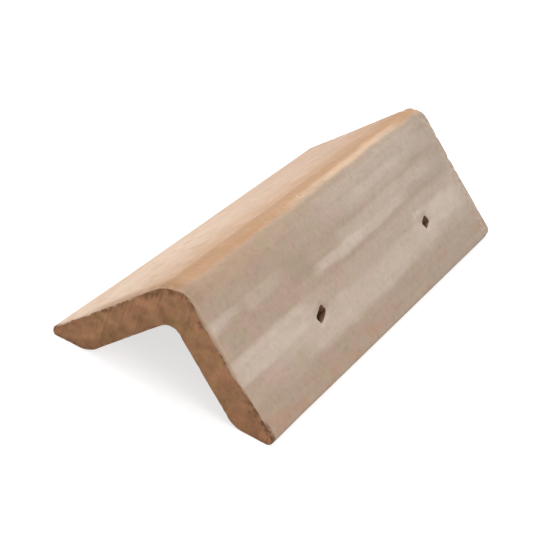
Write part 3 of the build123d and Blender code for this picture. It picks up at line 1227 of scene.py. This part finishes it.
def punch_holes(tile, section, sizes, holes, seed):
    """Cuts the nail holes out of the tile and takes the punches away."""
    punches = bpy.data.objects.new("punches", punches_mesh(section, holes, sizes.long_wall, seed))
    punches.data.materials.append(bpy.data.materials["punched_clay"])
    bpy.context.scene.collection.objects.link(punches)
    cut = tile.modifiers.new("nail_holes", "BOOLEAN")
    cut.operation = "DIFFERENCE"
    cut.solver = "EXACT"
    cut.material_mode = "TRANSFER"
    cut.object = punches
    uncut = tile.data
    holed = baked_mesh(tile)
    tile.modifiers.clear()
    tile.data = holed
    bpy.data.meshes.remove(uncut)
    bpy.data.meshes.remove(punches.data)
    tile.data.name = "rake_tile_clay"
    tile.data.set_sharp_from_angle(angle=radians(50))


class RAKETILE_OT_tile(bpy.types.Operator):
    """Press, cut and punch the clay tile, and give it its finish"""

    bl_idname = "rake_tile.tile"
    bl_label = "Clay tile"
    bl_options = {"REGISTER", "UNDO"}

    def execute(self, context):
        scene = context.scene
        sizes = scene.rake_tile_section
        relief = scene.rake_tile_relief
        holes = scene.rake_tile_holes
        colours = scene.rake_tile_colours
        section = Section(sizes)
        tile = bpy.data.objects.new("fired_clay_tile", tile_mesh(section, sizes, relief, holes))
        scene.collection.objects.link(tile)
        for made in (skin_material(colours), cut_material(colours), punched_material(colours)):
            tile.data.materials.append(made)
        punch_holes(tile, section, sizes, holes, relief.seed + PUNCH_SEED)
        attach(tile, "root")
        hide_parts("rake_tile")
        return {"FINISHED"}


def floor_material(stage):
    """A plain pale floor that looks white to the camera outside the tile's shadow, and in reflections
    too."""
    sheet = NodeSheet("studio_floor")
    path = sheet.tree.nodes.new("ShaderNodeLightPath")
    looked_at = sheet.math("MAXIMUM", path.outputs["Is Camera Ray"], path.outputs["Is Glossy Ray"])
    looked_at = sheet.math("MAXIMUM", looked_at, path.outputs["Is Transmission Ray"])
    pale = sheet.node("ShaderNodeBsdfDiffuse", {"Color": (*stage.floor_colour, 1.0)})
    lifted = sheet.math("MULTIPLY", looked_at, FLOOR_LIFT)
    lift = sheet.node("ShaderNodeEmission", {"Color": (1.0, 1.0, 1.0, 1.0), "Strength": lifted})
    return sheet.end(sheet.node("ShaderNodeAddShader", {0: pale, 1: lift}))


def soft_lamp(name, place, width, power):
    """A square lamp of plain white light, turned to face the tile."""
    lamp = bpy.data.lights.new(name, "AREA")
    lamp.shape = "SQUARE"
    lamp.size = width
    lamp.energy = power
    holder = bpy.data.objects.new(name, lamp)
    holder.location = place
    holder.rotation_mode = "QUATERNION"
    holder.rotation_quaternion = (-Vector(place)).to_track_quat("-Z", "Y")
    bpy.context.scene.collection.objects.link(holder)


def place_camera(stage):
    """Stands the camera at its place, looking down by its elevation and round by its azimuth, then rolls
    it."""
    ahead = Vector((
        -sin(stage.azimuth) * cos(stage.elevation),
        cos(stage.azimuth) * cos(stage.elevation),
        -sin(stage.elevation),
    ))
    level_right = ahead.cross(Vector((0, 0, 1))).normalized()
    level_down = ahead.cross(level_right)
    right = level_right * cos(stage.roll) + level_down * sin(stage.roll)
    down = ahead.cross(right)
    turned = Matrix((right, -down, -ahead)).transposed()
    lens = bpy.data.cameras.new("camera")
    lens.lens = stage.lens
    lens.sensor_width = SENSOR_WIDTH
    lens.clip_end = 50.0
    camera = bpy.data.objects.new("camera", lens)
    camera.matrix_world = Matrix.Translation(Vector(stage.eye)) @ turned.to_4x4()
    bpy.context.scene.collection.objects.link(camera)
    bpy.context.scene.camera = camera


class RAKETILE_OT_stage(bpy.types.Operator):
    """Set up the floor, the soft lamps, the even sky and the camera"""

    bl_idname = "rake_tile.stage"
    bl_label = "Studio stage"
    bl_options = {"REGISTER", "UNDO"}

    def execute(self, context):
        scene = context.scene
        stage = scene.rake_tile_stage
        scene.view_settings.view_transform = "Standard"
        half = stage.floor_half
        corners = np.array([(-half, -half, 0), (half, -half, 0), (half, half, 0), (-half, half, 0)])
        floor = bpy.data.objects.new("floor", mesh_from("floor", corners, [np.array([[0, 1, 2, 3]])]))
        floor.data.materials.append(floor_material(stage))
        scene.collection.objects.link(floor)

        sky = bpy.data.worlds.new("even_sky")
        sky.use_nodes = True
        background = sky.node_tree.nodes["Background"]
        background.inputs["Color"].default_value = (1.0, 1.0, 1.0, 1.0)
        background.inputs["Strength"].default_value = stage.sky
        scene.world = sky

        soft_lamp("key_lamp", KEY_PLACE, KEY_WIDTH, stage.key_power)
        soft_lamp("fill_lamp", FILL_PLACE, FILL_WIDTH, stage.fill_power)
        place_camera(stage)
        return {"FINISHED"}


class RAKETILE_PT_panel(bpy.types.Panel):
    """Lists the steps that make the tile and its stage"""

    bl_label = "Clay Rake Tile"
    bl_space_type = "VIEW_3D"
    bl_region_type = "UI"
    bl_category = "Rake Tile"

    def draw(self, context):
        for step in (RAKETILE_OT_tile, RAKETILE_OT_stage):
            self.layout.operator(step.bl_idname)


groups = {
    "rake_tile_section": RakeTileSection,
    "rake_tile_relief": RakeTileRelief,
    "rake_tile_holes": RakeTileHoles,
    "rake_tile_colours": RakeTileColours,
    "rake_tile_stage": RakeTileStage,
}
classes = (*groups.values(), RAKETILE_OT_tile, RAKETILE_OT_stage, RAKETILE_PT_panel)


def register():
    for made in classes:
        bpy.utils.register_class(made)
    for name, group in groups.items():
        setattr(bpy.types.Scene, name, PointerProperty(type=group))


def unregister():
    for name in groups:
        delattr(bpy.types.Scene, name)
    for made in reversed(classes):
        bpy.utils.unregister_class(made)


def main():
    register()
    bpy.ops.rake_tile.tile()
    bpy.ops.rake_tile.stage()


if __name__ == "__main__":
    main()
